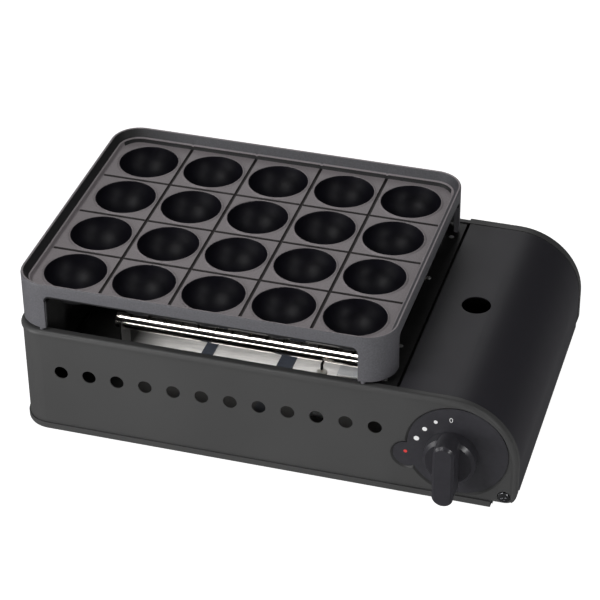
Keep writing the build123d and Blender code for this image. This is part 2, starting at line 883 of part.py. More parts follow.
def heat_panel():
    """Aluminium strip that carries a little burner heat to the canister."""
    half = heat_panel_width / 2
    seat = canister_radius + clearance
    ring = Pos(canister_x, canister_z) * (Circle(seat + heat_panel_sheet) - Circle(seat))
    reach = seat * math.sin(math.radians(heat_panel_arc))
    low = canister_z - seat * math.cos(math.radians(heat_panel_arc))
    window = Pos(canister_x, low - far / 2) * Rectangle(2 * reach, far)
    curved = along_y(ring & window, mid_y - half, mid_y + half)
    arm_z = pan_top + heat_panel_rise
    arm = block(
        bar_end - heat_panel_width,
        canister_x - reach + 2,
        mid_y - half,
        mid_y + half,
        arm_z,
        arm_z + heat_panel_sheet,
    )
    arm -= rod(seat, (canister_x, front_y, canister_z), (canister_x, back_y, canister_z))
    return curved + arm


# --- Cover, hinge, dial and knob -----------------------------------------


def canister_lid():
    """Bent cover with a folded seam edge, cut lower corners and two hinge ears."""
    skin = side_outline(clearance) - side_outline(clearance + sheet)
    start = seam_x + seam_gap / 2
    window = Pos(start + far / 2, lid_low_z + far / 2) * Rectangle(far, far)
    section = skin & window
    fold_top = top_z - clearance
    fold_height = sheet + lid_fold
    section += Pos(start + sheet / 2, fold_top - fold_height / 2) * Rectangle(sheet, fold_height)
    lid = along_y(section, lid_front, lid_back)
    wall_x = right_x - clearance - sheet
    for y, turn in ((lid_front, 1), (lid_back, -1)):
        cut = Polyline(
            (y, lid_low_z), (y + turn * lid_corner / 2, lid_low_z), (y, lid_low_z + lid_corner), close=True
        )
        lid -= along_x(make_face(cut), wall_x - 1, right_x)
    for y in (lid_front, lid_back - lid_ear_sheet):
        lid += along_y(lid_ear_outline(), y, y + lid_ear_sheet)
    lid -= rod(
        pin_radius + running_clearance,
        (pivot_x, lid_front - 1, pivot_z),
        (pivot_x, lid_back + 1, pivot_z),
    )
    hole_x = seam_x + finger_hole_inset
    hole_y = mid_y + finger_hole_offset
    return lid - rod(finger_hole_radius, (hole_x, hole_y, shelf_z), (hole_x, hole_y, top_z))


def lid_ear_outline():
    """Ear that joins the lid's right wall to the hinge pin, cut back below the wall's corner."""
    wall_x = right_x - clearance - sheet / 2
    top = lid_low_z + lid_ear_rise
    web = Polyline(
        (pivot_x, pivot_z),
        (pivot_x + lid_ear, pivot_z),
        (wall_x, lid_low_z + lid_corner),
        (wall_x, top),
        (pivot_x - lid_ear, top),
        (pivot_x - lid_ear, pivot_z),
        close=True,
    )
    return make_face(web) + Pos(pivot_x, pivot_z) * Circle(lid_ear)


def hinge_pins():
    """Shouldered pins through the lobes, headed in their dimples."""
    pins = []
    for face_y, sign in ((front_y, 1), (back_y, -1)):
        seat = face_y + sign * dimple_depth
        head = face_y + sign * (dimple_depth - pin_head)
        end = face_y + sign * (top_flange + lid_play + lid_ear_sheet + pin_reach)
        pin = rod(pin_head_radius, (pivot_x, head, pivot_z), (pivot_x, seat, pivot_z))
        pins.append(pin + rod(pin_radius, (pivot_x, seat, pivot_z), (pivot_x, end, pivot_z)))
    return Compound(pins)


def dial_plate():
    """Round plastic dial with an ear, sunk in the panel."""
    front = dial_y - dial_thickness
    round_part, ear = (rod(r, (x, front, z), (x, dial_y, z)) for x, z, r in dial_circles())
    hole = shaft_radius + clearance + running_clearance
    return round_part + ear - rod(hole, (knob_x, front, knob_z), (knob_x, dial_y, knob_z))


def valve_shaft():
    """Shaft from the knob into the valve, with a flat for the knob."""
    start = front_y - shaft_grip
    end = socket_y - valve_floor - clearance
    shaft = rod(shaft_radius, (knob_x, start, knob_z), (knob_x, end, knob_z))
    return shaft - shaft_key()


def shaft_key():
    """What the flat takes off the shaft, and what fills the knob's bore there."""
    low = knob_z + shaft_radius - shaft_flat
    return block(
        knob_x - shaft_radius,
        knob_x + shaft_radius,
        front_y - shaft_grip,
        front_y - shaft_flat_end,
        low,
        low + shaft_radius,
    )


def control_knob():
    """Round base with a long grip across its front, open behind the grip's ends."""
    back = dial_y - dial_thickness - clearance
    disc_front = front_y - knob_disc
    centre = Pos(knob_x, knob_z)
    disc = along_y(centre * Circle(knob_radius), disc_front, back)
    disc = chamfer(disc.edges().sort_by(Axis.Y)[0], knob_chamfer)
    grip = along_y(
        centre * SlotOverall(grip_length, grip_width, rotation=90), front_y - knob_reach, disc_front
    )
    grip = chamfer(grip.edges().group_by(Axis.Y)[0], grip_chamfer)
    bore = rod(shaft_radius, (knob_x, front_y - shaft_grip, knob_z), (knob_x, back, knob_z))
    return disc + grip - (bore - shaft_key())


PARTS = {
    "cooking_plate": cooking_plate,
    "body_shell": body_shell,
    "base_pan": base_pan,
    "base_screws": base_screws,
    "rubber_feet": rubber_feet,
    "top_frame": top_frame,
    "partition_wall": partition_wall,
    "burner": burner,
    "burner_brackets": burner_brackets,
    "heat_tray": heat_tray,
    "tray_straps": tray_straps,
    "electrode_ceramic": electrode_ceramic,
    "electrode_bracket": electrode_bracket,
    "electrode_wire": electrode_wire,
    "ignition_lead": ignition_lead,
    "regulator": regulator,
    "regulator_screws": regulator_screws,
    "canister_socket": canister_socket,
    "magnets": magnets,
    "gas_pipe": gas_pipe,
    "gas_nozzle": gas_nozzle,
    "piezo_igniter": piezo_igniter,
    "canister_cradle": canister_cradle,
    "heat_panel": heat_panel,
    "canister_lid": canister_lid,
    "hinge_pins": hinge_pins,
    "dial_plate": dial_plate,
    "valve_shaft": valve_shaft,
    "control_knob": control_knob,
}

os.makedirs("parts", exist_ok=True)
for name, make in PARTS.items():
    export_step(make(), f"parts/{name}.step")
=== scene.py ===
"""Looks of the takoyaki maker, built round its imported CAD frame.

Lengths are in metres, apart from the tables that say millimetres.
"""

import json
import math

import bmesh
import bpy
from mathutils import Matrix, Vector


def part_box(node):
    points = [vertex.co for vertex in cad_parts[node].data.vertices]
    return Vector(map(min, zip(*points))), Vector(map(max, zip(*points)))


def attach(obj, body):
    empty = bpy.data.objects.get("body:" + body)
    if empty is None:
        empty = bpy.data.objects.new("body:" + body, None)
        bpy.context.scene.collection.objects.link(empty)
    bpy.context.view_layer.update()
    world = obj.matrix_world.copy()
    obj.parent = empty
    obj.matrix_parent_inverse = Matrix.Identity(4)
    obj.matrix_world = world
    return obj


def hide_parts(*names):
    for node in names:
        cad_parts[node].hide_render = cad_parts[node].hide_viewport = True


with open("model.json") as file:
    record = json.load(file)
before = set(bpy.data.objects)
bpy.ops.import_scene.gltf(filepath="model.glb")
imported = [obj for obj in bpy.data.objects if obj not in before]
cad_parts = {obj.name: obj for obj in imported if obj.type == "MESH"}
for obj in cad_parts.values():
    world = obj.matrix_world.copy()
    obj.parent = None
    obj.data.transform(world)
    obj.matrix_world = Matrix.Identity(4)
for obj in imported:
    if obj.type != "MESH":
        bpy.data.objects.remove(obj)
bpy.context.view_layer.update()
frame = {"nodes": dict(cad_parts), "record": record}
MM = 0.001

# Cooking plate, as in the CAD source
COLUMNS = 5
ROWS = 4
CUP_PITCH = 48.0 * MM
CUP_RADIUS = 20.65 * MM
CUP_DEPTH = 18.5 * MM
CUP_WALL = 2.6 * MM
DECK = 2.2 * MM
RIM_HEIGHT = 8.8 * MM
LEG_WIDTH = 21.7 * MM
WINDOW_CORNER = 4.0 * MM
PLATE_CORNER = 20.0 * MM
SKIRT_WALL = 3.5 * MM
LEG_PAD = 1.8 * MM  # how far the pads stand below the legs
LEG_PAD_RADIUS = 1.6 * MM

# Finer forms than the CAD plate has, in millimetres
# Across a groove: distance from its middle and depth
GROOVE = ((0.0, 1.1), (0.6, 1.0), (0.95, 0.15), (1.15, 0.0))
# Bead round a cup: distance outside the cup's edge and height
BEAD = ((0.02, 0.08), (0.3, 0.52), (0.65, 0.74), (1.2, 0.6), (1.6, 0.25), (1.9, 0.0))
# Wall round the deck, from the deck outwards: inset from the outside of the plate and height
RIM_STEP = ((6.55, 0.1), (6.3, 0.5), (6.15, 1.6), (6.05, 2.6))
RIM_LEDGE = ((5.85, 3.05), (5.5, 3.25), (4.95, 3.4))
RIM_WALL = ((4.6, 3.75), (2.0, 8.1), (1.75, 8.45))
RIM_TOP = ((1.4, 8.68), (1.0, 8.8), (0.6, 8.72), (0.2, 8.35), (0.0, 7.7))
RIM = RIM_STEP + RIM_LEDGE + RIM_WALL + RIM_TOP
RIM_OUTER = 2  # last points of the top, which have the finish of the outside
GROOVE_FADE = 5.0  # height over the deck at which the grooves have run out in the rim

GROOVE_HALF = GROOVE[-1][0] * MM
DECK_INSET = 6.9 * MM  # from the outside of the plate to the foot of the step round the deck
# Rounded lower edge of the skirt over the windows: how far it rises and reaches in
WINDOW_FLARE = 2.3 * MM
WINDOW_FLARE_DEPTH = 2.6 * MM
# Bevels of the lower edges of the legs and of the pads under them
LEG_EDGE = 0.5 * MM
PAD_EDGE = 0.3 * MM

# Fineness of the meshes
BALL_RINGS = 18
UNDER_RINGS = 12
COATED_RINGS = BALL_RINGS + 1  # the cup's coat ends on the inner slope of its bead
DECK_SHARES = (0.35, 0.7)  # rings of the flat deck, as shares of the way from bead to groove
SIDE_STEPS = 22
FLARE_STEPS = 6
WELD = 0.02 * MM
CUT_MARGIN = 1.0 * MM  # how far a cutter stands out of what it cuts
SHARP_ANGLE = 32  # degrees

plate_low, plate_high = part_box("cooking_plate")
PLATE_MIDDLE = (plate_low + plate_high) / 2
HALF_X = (plate_high.x - plate_low.x) / 2
HALF_Y = (plate_high.y - plate_low.y) / 2
CORNER_X = HALF_X - PLATE_CORNER
CORNER_Y = HALF_Y - PLATE_CORNER
DECK_Z = plate_high.z - RIM_HEIGHT
WEB_Z = DECK_Z - DECK


# --- Materials -----------------------------------------------------------

SMOOTHEST = 0.02  # lowest roughness of a finish
TINT_RANGE = (0.3, 0.7)  # part of the noise's range over which a colour changes


def add_node(nodes, kind, values):
    """New node with some of its inputs set, each by its name."""
    made = nodes.new(kind)
    for name, value in values.items():
        made.inputs[name].default_value = value
    return made


def add_span(nodes, before, after):
    """Node that maps one range of values onto another and keeps to its ends."""
    names = ("From Min", "From Max", "To Min", "To Max")
    return add_node(nodes, "ShaderNodeMapRange", dict(zip(names, before + after)))


class Shader:
    """Node material that starts from a Principled shader and adds procedural detail."""

    def __init__(self, name, color, roughness, metallic=0.0, specular=0.5):
        self.material = bpy.data.materials.new(name)
        self.material.use_nodes = True
        self.nodes = self.material.node_tree.nodes
        self.links = self.material.node_tree.links
        self.bsdf = self.nodes["Principled BSDF"]
        self.color = color
        self.roughness = roughness
        self.bsdf.inputs["Base Color"].default_value = (*color, 1)
        self.bsdf.inputs["Roughness"].default_value = roughness
        self.bsdf.inputs["Metallic"].default_value = metallic
        self.bsdf.inputs["Specular IOR Level"].default_value = specular
        self.position = self.nodes.new("ShaderNodeTexCoord").outputs["Object"]
        self.normal = None

    def noise(self, scale, detail, stretch=(1, 1, 1), rough=0.55):
        """Noise in object space; scale is per metre, and a stretch below 1 draws it out on that axis."""
        mapping = add_node(self.nodes, "ShaderNodeMapping", {"Scale": stretch})
        values = {"Scale": scale, "Detail": detail, "Roughness": rough}
        texture = add_node(self.nodes, "ShaderNodeTexNoise", values)
        self.links.new(self.position, mapping.inputs["Vector"])
        self.links.new(mapping.outputs["Vector"], texture.inputs["Vector"])
        return texture.outputs["Fac"]

    def tint(self, factor, low, high):
        """Base colour between two shares of the main colour, driven by factor."""
        ramp = self.nodes.new("ShaderNodeValToRGB")
        for end, place, share in zip(ramp.color_ramp.elements, TINT_RANGE, (low, high)):
            end.position = place
            end.color = (*[c * share for c in self.color], 1)
        self.links.new(factor, ramp.inputs["Fac"])
        self.links.new(ramp.outputs["Color"], self.bsdf.inputs["Base Color"])

    def gloss(self, factor, spread):
        """Roughness that varies by spread about the main one."""
        lowest = max(SMOOTHEST, self.roughness - spread)
        highest = min(1.0, self.roughness + spread)
        span = add_span(self.nodes, (0.0, 1.0), (lowest, highest))
        self.links.new(factor, span.inputs["Value"])
        self.links.new(span.outputs["Result"], self.bsdf.inputs["Roughness"])

    def bump(self, factor, depth, strength):
        """Relief of the given depth, added to any relief already there."""
        bump = add_node(self.nodes, "ShaderNodeBump", {"Distance": depth, "Strength": strength})
        self.links.new(factor, bump.inputs["Height"])
        if self.normal is not None:
            self.links.new(self.normal, bump.inputs["Normal"])
        self.normal = bump.outputs["Normal"]
        self.links.new(self.normal, self.bsdf.inputs["Normal"])

    def stain(self, axis, dark, unshaded, share):
        """Painted shade: darkens the tinted colour along an axis, from unshaded to a share of itself at
        dark and beyond.
        """
        parts = self.nodes.new("ShaderNodeSeparateXYZ")
        span = add_span(self.nodes, (dark, unshaded), (share, 1.0))
        scale = self.nodes.new("ShaderNodeVectorMath")
        scale.operation = "SCALE"
        tinted = self.bsdf.inputs["Base Color"].links[0].from_socket
        self.links.new(self.position, parts.inputs["Vector"])
        self.links.new(parts.outputs[axis], span.inputs["Value"])
        self.links.new(tinted, scale.inputs["Vector"])
        self.links.new(span.outputs["Result"], scale.inputs["Scale"])
        self.links.new(scale.outputs["Vector"], self.bsdf.inputs["Base Color"])


def powder_coat(name, color, roughness):
    """Satin powder-coated steel with a very fine orange peel."""
    shader = Shader(name, color, roughness, specular=0.3)
    shader.tint(shader.noise(9, detail=3), low=0.93, high=1.07)
    shader.gloss(shader.noise(60, detail=4), spread=0.03)
    shader.bump(shader.noise(1400, detail=2), depth=0.04 * MM, strength=0.5)
    return shader.material


def cast_skin(name, color, roughness, grain, depth, spread, stains=()):
    """Coated casting with a fine sandy skin and, where it has any, painted shade along an axis."""
    shader = Shader(name, color, roughness)
    shader.tint(shader.noise(grain, detail=3, rough=0.7), low=1 - spread, high=1 + spread)
    shader.gloss(shader.noise(grain / 3, detail=3), spread=0.05)
    shader.bump(shader.noise(grain, detail=4, rough=0.65), depth, strength=0.8)
    shader.bump(shader.noise(grain / 9, detail=3), depth * 2, strength=0.4)
    for stain in stains:
        shader.stain(*stain)
    return shader.material


def non_stick_coat(name, color, roughness):
    """Dark non-stick coat of the cups, slightly rippled from turning."""
    shader = Shader(name, color, roughness, specular=0.2)
    shader.tint(shader.noise(220, detail=4), low=0.8, high=1.25)
    shader.gloss(shader.noise(500, detail=3), spread=0.05)
    shader.bump(shader.noise(900, detail=3), depth=0.03 * MM, strength=0.5)
    return shader.material


def sheet_metal(name, color, roughness, stretch=(1, 1, 1), grain=260, stains=()):
    """Bright metal with faint drawing lines along one axis and, where it has any, painted shade along an
    axis.
    """
    shader = Shader(name, color, roughness, metallic=1.0)
    shader.tint(shader.noise(grain, 5, stretch), low=0.86, high=1.06)
    shader.gloss(shader.noise(grain * 1.7, 4, stretch), spread=0.07)
    shader.bump(shader.noise(grain * 3, 3, stretch), depth=0.02 * MM, strength=0.6)
    for stain in stains:
        shader.stain(*stain)
    return shader.material


def enamel(name, color, roughness):
    """Dark heat-proof enamel, a little uneven."""
    shader = Shader(name, color, roughness, specular=0.2)
    shader.tint(shader.noise(40, detail=4), low=0.75, high=1.3)
    shader.gloss(shader.noise(160, detail=4), spread=0.06)
    shader.bump(shader.noise(650, detail=3), depth=0.05 * MM, strength=0.5)
    return shader.material


def moulded_plastic(name, color, roughness):
    """Moulded plastic with an eroded satin skin."""
    shader = Shader(name, color, roughness)
    shader.tint(shader.noise(300, detail=3), low=0.92, high=1.08)
    shader.gloss(shader.noise(120, detail=3), spread=0.03)
    shader.bump(shader.noise(2200, detail=2), depth=0.03 * MM, strength=0.5)
    return shader.material


def soft_rubber(name, color):
    """Matte moulded rubber with dust in its pores."""
    shader = Shader(name, color, roughness=0.78)
    shader.tint(shader.noise(500, detail=4), low=0.8, high=1.5)
    shader.bump(shader.noise(1600, detail=3), depth=0.06 * MM, strength=0.6)
    return shader.material


def print_ink(name, color):
    """Screen-printed ink, slightly broken up by the skin under it."""
    shader = Shader(name, color, roughness=0.5)
    shader.tint(shader.noise(2500, detail=3), low=0.9, high=1.05)
    return shader.material


# Painted shade: axis, where the surface is darkest, where it is unshaded, share of its brightness left
# Tray: painted shade at its left end, along its rear and along its front edge
TRAY_PAINTED_SHADE = (
    ("X", -0.122, -0.098, 0.035),
    ("Y", 0.03, 0.008, 0.2),
    ("Y", -0.044, -0.028, 0.05),
)
# Inner wall of the rim: painted shade darkening it towards the left end, which faces away from the light
RIM_PAINTED_SHADE = (("X", -0.16, -0.11, 0.12),)

MATERIALS = {}


def material(make, name, *values, **detail):
    """Makes a material and keeps it under its name."""
    MATERIALS[name] = make(name, *values, **detail)


# Kind of finish, name, colour, roughness where it isn't the same for the kind, and detail
material(powder_coat, "body_paint", (0.054, 0.054, 0.054), 0.42)
material(powder_coat, "lid_paint", (0.023, 0.022, 0.027), 0.43)
material(enamel, "frame_enamel", (0.008, 0.008, 0.008), 0.4)
material(enamel, "strap_paint", (0.02, 0.023, 0.03), 0.45)

material(sheet_metal, "zinc_sheet", (0.5, 0.51, 0.52), 0.42, grain=120)
material(sheet_metal, "screw_zinc", (0.8, 0.8, 0.8), 0.3)
material(sheet_metal, "burner_steel", (0.9, 0.85, 0.8), 0.14, stretch=(0.06, 1, 1))
# Tray steel with painted shade at its left end, its rear and its front edge
material(sheet_metal, "tray_steel", (0.95, 0.93, 0.9), 0.5, stretch=(0.2, 1, 1), stains=TRAY_PAINTED_SHADE)
material(sheet_metal, "magnet_nickel", (0.6, 0.6, 0.6), 0.2)
material(sheet_metal, "brass_fitting", (0.75, 0.52, 0.22), 0.28)
material(sheet_metal, "heat_aluminium", (0.8, 0.81, 0.82), 0.35, stretch=(0.1, 1, 1))
material(sheet_metal, "pin_black", (0.42, 0.42, 0.44), 0.35)

material(soft_rubber, "feet_rubber", (0.02, 0.02, 0.02))
material(soft_rubber, "lead_silicone", (0.03, 0.03, 0.035))
material(moulded_plastic, "igniter_case", (0.03, 0.03, 0.03), 0.5)
material(moulded_plastic, "dial_plastic", (0.034, 0.033, 0.039), 0.42)
material(moulded_plastic, "knob_plastic", (0.029, 0.028, 0.033), 0.3)
material(print_ink, "white_ink", (0.85, 0.85, 0.85))
material(print_ink, "red_ink", (0.7, 0.03, 0.025))

material(cast_skin, "white_ceramic", (0.8, 0.78, 0.72), 0.5, grain=900, depth=0.02 * MM, spread=0.04)
material(cast_skin, "die_cast", (0.35, 0.36, 0.37), 0.45, grain=700, depth=0.04 * MM, spread=0.08)
material(cast_skin, "cast_plate", (0.27, 0.245, 0.255), 0.55, grain=1100, depth=0.05 * MM, spread=0.12)
material(cast_skin, "plate_outside", (0.088, 0.087, 0.096), 0.5, grain=900, depth=0.09 * MM, spread=0.22)
material(cast_skin, "groove_dark", (0.016, 0.012, 0.012), 0.6, grain=900, depth=0.04 * MM, spread=0.2)
# Dark coat of the underside, also painted shade on the rear of the step and on the windows' upper edges
material(cast_skin, "under_coat", (0.012, 0.012, 0.013), 0.6, grain=700, depth=0.08 * MM, spread=0.2)
# Inner wall of the rim: the outside's finish a little darker as painted shade, with more painted shade
# towards the left
material(
    cast_skin, "rim_inside", (0.07, 0.069, 0.077), 0.6,
    grain=900, depth=0.09 * MM, spread=0.22, stains=RIM_PAINTED_SHADE,
)
material(non_stick_coat, "cup_coat", (0.005, 0.0045, 0.0078), 0.48)

# Plain sheet parts drawn in black enamel: the burner brackets, which stand in the flames, and the partition
# wall, whose black is painted shade in the seam beside the cover
BLACK_OR_SHADE_SHEETS = ("burner_brackets", "partition_wall")


def dress_cad():
    """Gives each CAD node the material of its record slot, or black enamel."""
    for part in frame["record"]["subparts"]:
        name = part["node"]
        # black enamel in place of the record slot; on the partition wall it is painted shade
        slot = "frame_enamel" if name in BLACK_OR_SHADE_SHEETS else part["material_slot"]
        materials = frame["nodes"][name].data.materials
        materials.clear()
        materials.append(MATERIALS[slot])


# --- Mesh helpers --------------------------------------------------------


def link_object(name, mesh):
    """Object in the scene made from a mesh under construction, which ends there."""
    data = bpy.data.meshes.new(name)
    mesh.to_mesh(data)
    mesh.free()
    made = bpy.data.objects.new(name, data)
    bpy.context.scene.collection.objects.link(made)
    return made


def smooth(piece):
    """Smooth shading, except across sharp edges."""
    piece.data.polygons.foreach_set("use_smooth", [True] * len(piece.data.polygons))
    piece.data.set_sharp_from_angle(angle=math.radians(SHARP_ANGLE))


def cut(piece, cutter):
    """Takes the cutter out of the piece and removes it."""
    modifier = piece.modifiers.new("cut", "BOOLEAN")
    modifier.object = cutter
    modifier.operation = "DIFFERENCE"
    modifier.solver = "EXACT"
    bpy.context.view_layer.objects.active = piece
    bpy.ops.object.modifier_apply(modifier=modifier.name)
    bpy.data.objects.remove(cutter)


def lathe(mesh, profile, place, material_index=0, segments=32):
    """Closed turned form put in place by a matrix, from radii and heights, the bottom first."""
    turns = [2 * math.pi * k / segments for k in range(segments)]
    rings = []
    for radius, height in profile:
        circle = [Vector((radius * math.cos(t), radius * math.sin(t), height)) for t in turns]
        rings.append([mesh.verts.new(place @ point) for point in circle])
    faces = [mesh.faces.new(rings[0][::-1]), mesh.faces.new(rings[-1])]
    for lower, upper in zip(rings, rings[1:]):
        for k in range(segments):
            faces.append(mesh.faces.new([lower[k - 1], lower[k], upper[k], upper[k - 1]]))
    for face in faces:
        face.material_index = material_index


def add_rings(mesh, tip, rings, kind_of, flip):
    """Skins rings of points, from a tip vertex outwards; kind_of gives each face its material."""
    made = [[mesh.verts.new(p) for p in ring] for ring in rings]
    count = len(made[0])
    for k in range(count):
        corner = [tip, made[0][k], made[0][(k + 1) % count]]
        face = mesh.faces.new(corner[::-1] if flip else corner)
        face.material_index = kind_of(0, face)
    for index, (inner, outer) in enumerate(zip(made, made[1:]), start=1):
        for k in range(count):
            after = (k + 1) % count
            corner = [inner[k], outer[k], outer[after], inner[after]]
            face = mesh.faces.new(corner[::-1] if flip else corner)
            face.material_index = kind_of(index, face)


def border_loop(mesh):
    """Open edge of the mesh as a ring of vertices, counter-clockwise from the left."""
    rim = [e for e in mesh.edges if e.is_boundary]
    verts = {v for e in rim for v in e.verts}
    return sorted(verts, key=lambda v: math.atan2(v.co.y, v.co.x))


def skin_loops(mesh, first, loops, kind_of):
    """Joins a ring of vertices to further loops; a face's material goes by its loop and place."""
    last = first
    count = len(first)
    for index, loop in enumerate(loops):
        made = [mesh.verts.new(p) for p in loop]
        for k in range(count):
            after = (k + 1) % count
            face = mesh.faces.new([last[k], made[k], made[after], last[after]])
            face.material_index = kind_of(index, made[k].co)
        last = made


# --- Cooking plate -------------------------------------------------------

# Faces of the casting and their materials, in the same order
DECK_FACE, CUP_FACE, GROOVE_FACE, OUTSIDE_FACE, SHADE_FACE, RIM_FACE = range(6)
CASTING = ("cast_plate", "cup_coat", "groove_dark", "plate_outside", "under_coat", "rim_inside")


def groove_depth(distance):
    """Depth of a groove at a distance from its middle."""
    for (near, deep), (far, shallow) in zip(GROOVE, GROOVE[1:]):
        if distance <= far * MM:
            share = (distance / MM - near) / (far - near)
            return (deep + (shallow - deep) * max(0.0, share)) * MM
    return 0.0


def side_steps(length):
    """Places along one side of a cell, with close ones beside the corners."""
    edge = [near * MM for near, _ in GROOVE]
    inner = length - 2 * GROOVE_HALF
    middle = [GROOVE_HALF + inner * k / SIDE_STEPS for k in range(1, SIDE_STEPS)]
    return edge + middle + [length - e for e in reversed(edge)][:-1]


def cell_outline(low, high):
    """Points round a cell, counter-clockwise from its lower right corner, about the cup's centre."""
    width = high[0] - low[0]
    depth = high[1] - low[1]
    points = [(high[0], low[1] + s) for s in side_steps(depth)]
    points += [(high[0] - s, high[1]) for s in side_steps(width)]
    points += [(low[0], high[1] - s) for s in side_steps(depth)]
    points += [(low[0] + s, low[1]) for s in side_steps(width)]
    return points


def cell_bounds(column, row, inset):
    """Cell corners about the cup's centre: half a pitch, or out to the inset at the plate's edge."""
    edge_x = HALF_X - (COLUMNS - 1) * CUP_PITCH / 2 - inset
    edge_y = HALF_Y - (ROWS - 1) * CUP_PITCH / 2 - inset
    half = CUP_PITCH / 2
    low = (-edge_x if column == 0 else -half, -edge_y if row == 0 else -half)
    high = (edge_x if column == COLUMNS - 1 else half, edge_y if row == ROWS - 1 else half)
    return low, high


def cup_centre(column, row):
    """Centre of a cup about the middle of the plate."""
    x = (column - (COLUMNS - 1) / 2) * CUP_PITCH
    y = (row - (ROWS - 1) / 2) * CUP_PITCH
    return x, y


def inset_point(point, low, high, inset):
    """Outline point moved inwards from the sides it lies on."""
    x = min(max(point[0], low[0] + inset), high[0] - inset)
    y = min(max(point[1], low[1] + inset), high[1] - inset)
    return x, y


def inside_plate(x, y, inset):
    """Point moved inside the plate's rounded corners, at the inset from its outside or further in."""
    over_x = abs(x) - CORNER_X
    over_y = abs(y) - CORNER_Y
    if over_x <= 0 or over_y <= 0:
        return x, y
    scale = min(max(over_x, over_y), PLATE_CORNER - inset) / math.hypot(over_x, over_y)
    return math.copysign(CORNER_X + over_x * scale, x), math.copysign(CORNER_Y + over_y * scale, y)


def outline_loop(inset, like):
    """Points of the plate's outline at an inset, one for each point of another such loop."""
    loop = []
    for x, y in like:
        over_x = abs(x) - CORNER_X
        over_y = abs(y) - CORNER_Y
        if over_x > 0 and over_y > 0:
            scale = (PLATE_CORNER - inset) / math.hypot(over_x, over_y)
            px = CORNER_X + over_x * scale
            py = CORNER_Y + over_y * scale
        elif over_x > over_y:
            px = HALF_X - inset
            py = abs(y)
        else:
            px = abs(x)
            py = HALF_Y - inset
        loop.append((math.copysign(px, x), math.copysign(py, y)))
    return loop


def ball_profile(radius, depth, rings):
    """Radius and height of the rings of a cup from its bottom up to its edge."""
    sphere = (radius**2 + depth**2) / (2 * depth)
    edge = math.asin(min(1.0, radius / sphere))
    angles = [edge * k / rings for k in range(1, rings + 1)]
    return [(sphere * math.sin(a), sphere * (1 - math.cos(a)) - depth) for a in angles]


def cup_rings(centre, outline, profile, level):
    """Rings round a cup's centre, with a point towards each point of the cell's outline."""
    x, y = centre
    directions = [Vector(p).normalized() for p in outline]
    return [[(x + d.x * r, y + d.y * r, level + h) for d in directions] for r, h in profile]


def on_deck(a, b, share):
    """Point of the flat deck part of the way from one point to another."""
    return a[0] + (b[0] - a[0]) * share, a[1] + (b[1] - a[1]) * share, DECK_Z


def deck_cell(mesh, column, row):
    """One cell of the cooking face: cup, bead, deck and half of each groove round it."""
    cx, cy = cup_centre(column, row)
    low, high = cell_bounds(column, row, DECK_INSET)
    outline = cell_outline(low, high)
    grooves_x = [x for x, shared in ((low[0], column > 0), (high[0], column < COLUMNS - 1)) if shared]
    grooves_y = [y for y, shared in ((low[1], row > 0), (high[1], row < ROWS - 1)) if shared]

    def groove_distance(x, y):
        return min([abs(x - line) for line in grooves_x] + [abs(y - line) for line in grooves_y])

    def ring_at(inset):
        ring = []
        for point in outline:
            x, y = inset_point(point, low, high, inset)
            sunk = groove_depth(groove_distance(x, y))
            ring.append((*inside_plate(cx + x, cy + y, DECK_INSET + inset), DECK_Z - sunk))
        return ring

    def kind_of(index, face):
        if index <= COATED_RINGS:
            return CUP_FACE
        middle = face.calc_center_median()
        in_groove = groove_distance(middle.x - cx, middle.y - cy) < GROOVE_HALF
        return GROOVE_FACE if in_groove else DECK_FACE

    profile = ball_profile(CUP_RADIUS, CUP_DEPTH, BALL_RINGS)
    profile += [(CUP_RADIUS + out * MM, up * MM) for out, up in BEAD]
    rings = cup_rings((cx, cy), outline, profile, DECK_Z)
    bead = rings[-1]
    border = ring_at(GROOVE_HALF)
    for share in DECK_SHARES:
        rings.append([on_deck(a, b, share) for a, b in zip(bead, border)])
    rings += [ring_at(near * MM) for near, _ in reversed(GROOVE)]
    tip = mesh.verts.new((cx, cy, DECK_Z - CUP_DEPTH))
    add_rings(mesh, tip, rings, kind_of, flip=False)


def under_cell(mesh, column, row):
    """Underside of a cell: the outside of the cup and the flat web round it."""
    cx, cy = cup_centre(column, row)
    outline = cell_outline(*cell_bounds(column, row, SKIRT_WALL))
    depth = CUP_DEPTH + CUP_WALL - DECK
    profile = ball_profile(CUP_RADIUS + CUP_WALL, depth, UNDER_RINGS)
    rings = cup_rings((cx, cy), outline, profile, WEB_Z)
    rings.append([(*inside_plate(cx + x, cy + y, SKIRT_WALL), WEB_Z) for x, y in outline])
    tip = mesh.verts.new((cx, cy, WEB_Z - depth))
    add_rings(mesh, tip, rings, lambda index, face: SHADE_FACE, flip=True)


def rim_kind(index, place):
    """Material of a face of the rim or skirt, by its loop; painted shade on the step along the rear and on
    the inner wall.
    """
    if index < len(RIM_STEP):
        return SHADE_FACE if place.y > HALF_Y - 2 * DECK_INSET else DECK_FACE
    if len(RIM_STEP + RIM_LEDGE) <= index < len(RIM_STEP + RIM_LEDGE + RIM_WALL):
        return RIM_FACE
    return DECK_FACE if index < len(RIM) - RIM_OUTER else OUTSIDE_FACE


def leg_pads(mesh):
    """Small round pads under the legs, two at the front and two at the rear."""
    x = HALF_X - LEG_WIDTH + 2 * LEG_PAD_RADIUS
    y = HALF_Y - SKIRT_WALL / 2
    low = (LEG_PAD_RADIUS - PAD_EDGE, 0)
    profile = (low, (LEG_PAD_RADIUS, PAD_EDGE), (LEG_PAD_RADIUS, LEG_PAD + LEG_EDGE))
    for place in ((-x, -y), (x, -y), (-x, y), (x, y)):
        lathe(mesh, profile, Matrix.Translation((*place, plate_low.z)), OUTSIDE_FACE)


